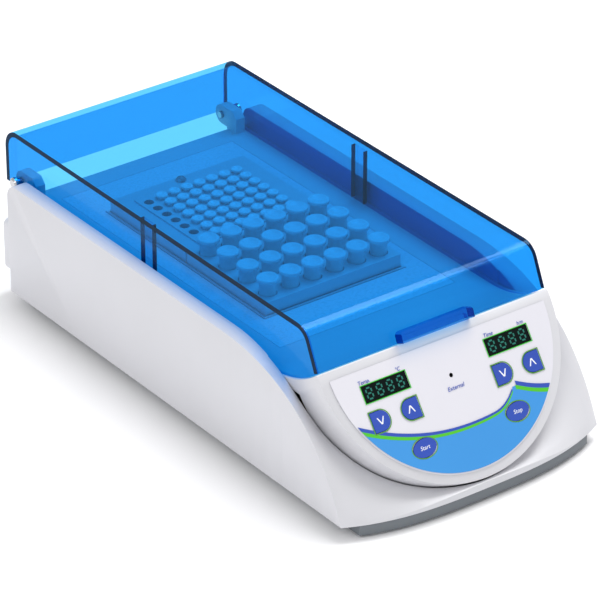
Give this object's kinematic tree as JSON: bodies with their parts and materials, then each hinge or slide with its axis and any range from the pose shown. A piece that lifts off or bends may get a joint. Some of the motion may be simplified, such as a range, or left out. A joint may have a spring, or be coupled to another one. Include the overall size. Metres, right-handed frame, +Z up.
{
  "type": "dry block heater",
  "caption": "Compact dry block heater with a hinged blue acrylic lid, lift-out aluminium blocks and a tilted half-round control panel.",
  "frame": {"origin": "middle of the object's plan, on the surface it stands on", "axes": "+Z up, +Y towards the hinged rear, -Y towards the control panel, +X to the right when seen from the front"},
  "size_m": [0.18, 0.3574, 0.1075],
  "materials": {
    "white_shell": "fine satin moulding",
    "white_enamel": "smooth enamel",
    "grey_base": "satin",
    "foot_rubber": "matt",
    "black_plastic": "satin",
    "rocker_plastic": "gloss",
    "bright_metal": "nickel plated",
    "blue_acrylic": "clear tinted sheet, polished",
    "tray_aluminium": "machined",
    "block_aluminium": "satin anodised",
    "heater_silicone": "matt",
    "insulation": "fibrous",
    "printed_overlay": "printed film",
    "blue_key": "domed film",
    "display_window": "glossy",
    "circuit_board": "lacquered",
    "transformer_core": "varnished"
  },
  "bodies": {
    "housing": {"outer_housing": "white_shell", "top_shell": "white_shell", "insert_plate": "white_enamel", "base_tray": "grey_base", "foot_rear_left": "foot_rubber", "foot_rear_right": "foot_rubber", "foot_front_left": "foot_rubber", "foot_front_right": "foot_rubber", "rear_box": "white_shell", "power_inlet": "black_plastic", "inlet_pin_line": "bright_metal", "inlet_pin_neutral": "bright_metal", "inlet_pin_earth": "bright_metal", "switch_frame": "black_plastic", "hinge_pin_left": "bright_metal", "hinge_pin_right": "bright_metal", "well_tray": "tray_aluminium", "temperature_sensor": "bright_metal", "heater_mat": "heater_silicone", "insulation_pad": "insulation", "insulation_left": "insulation", "insulation_right": "insulation", "thermal_cutout": "black_plastic", "panel_overlay": "printed_overlay", "display_temp": "display_window", "display_time": "display_window", "probe_jack": "black_plastic", "control_board": "circuit_board", "power_board": "circuit_board", "transformer": "transformer_core", "heater_relay": "black_plastic"},
    "lid": {"lid_sheet": "blue_acrylic", "lid_side_left": "blue_acrylic", "lid_side_right": "blue_acrylic", "lid_rib_left": "blue_acrylic", "lid_rib_right": "blue_acrylic", "lid_grip": "blue_acrylic"},
    "front_block": {"block_front": "block_aluminium"},
    "rear_block": {"block_rear": "block_aluminium", "block_lifting_screw": "bright_metal"},
    "rocker": {"power_switch": "rocker_plastic"},
    "drawer": {"fuse_drawer": "black_plastic"},
    "temp_down": {"key_temp_down": "blue_key"},
    "temp_up": {"key_temp_up": "blue_key"},
    "time_down": {"key_time_down": "blue_key"},
    "time_up": {"key_time_up": "blue_key"},
    "start": {"key_start": "blue_key"},
    "stop": {"key_stop": "blue_key"}
  },
  "joints": [
    {"name": "lid_hinge", "type": "hinge", "parent": "housing", "child": "lid", "pos_m": [0, 0.16765, 0.075], "axis": [-1, 0, 0], "range_deg": [0, 100]},
    {"name": "front_block_lift", "type": "slide", "parent": "housing", "child": "front_block", "axis": [0, 0, 1], "range_m": [0, 0.015]},
    {"name": "rear_block_lift", "type": "slide", "parent": "housing", "child": "rear_block", "axis": [0, 0, 1], "range_m": [0, 0.015]},
    {"name": "power_rocker", "type": "hinge", "parent": "housing", "child": "rocker", "pos_m": [0.034, 0.17405, 0.0315], "axis": [0, 0, 1], "range_deg": [-18, 0]},
    {"name": "fuse_drawer_slide", "type": "slide", "parent": "housing", "child": "drawer", "axis": [0, 1, 0], "range_m": [0, 0.01]},
    {"name": "temp_down_press", "type": "slide", "parent": "housing", "child": "temp_down", "axis": [0, 0.8121, -0.5835], "range_m": [0, 0.0008], "stiffness_N_per_m": 600},
    {"name": "temp_up_press", "type": "slide", "parent": "housing", "child": "temp_up", "axis": [0, 0.8121, -0.5835], "range_m": [0, 0.0008], "stiffness_N_per_m": 600},
    {"name": "time_down_press", "type": "slide", "parent": "housing", "child": "time_down", "axis": [0, 0.8121, -0.5835], "range_m": [0, 0.0008], "stiffness_N_per_m": 600},
    {"name": "time_up_press", "type": "slide", "parent": "housing", "child": "time_up", "axis": [0, 0.8121, -0.5835], "range_m": [0, 0.0008], "stiffness_N_per_m": 600},
    {"name": "start_press", "type": "slide", "parent": "housing", "child": "start", "axis": [0, 0.8121, -0.5835], "range_m": [0, 0.0008], "stiffness_N_per_m": 600},
    {"name": "stop_press", "type": "slide", "parent": "housing", "child": "stop", "axis": [0, 0.8121, -0.5835], "range_m": [0, 0.0008], "stiffness_N_per_m": 600}
  ]
}
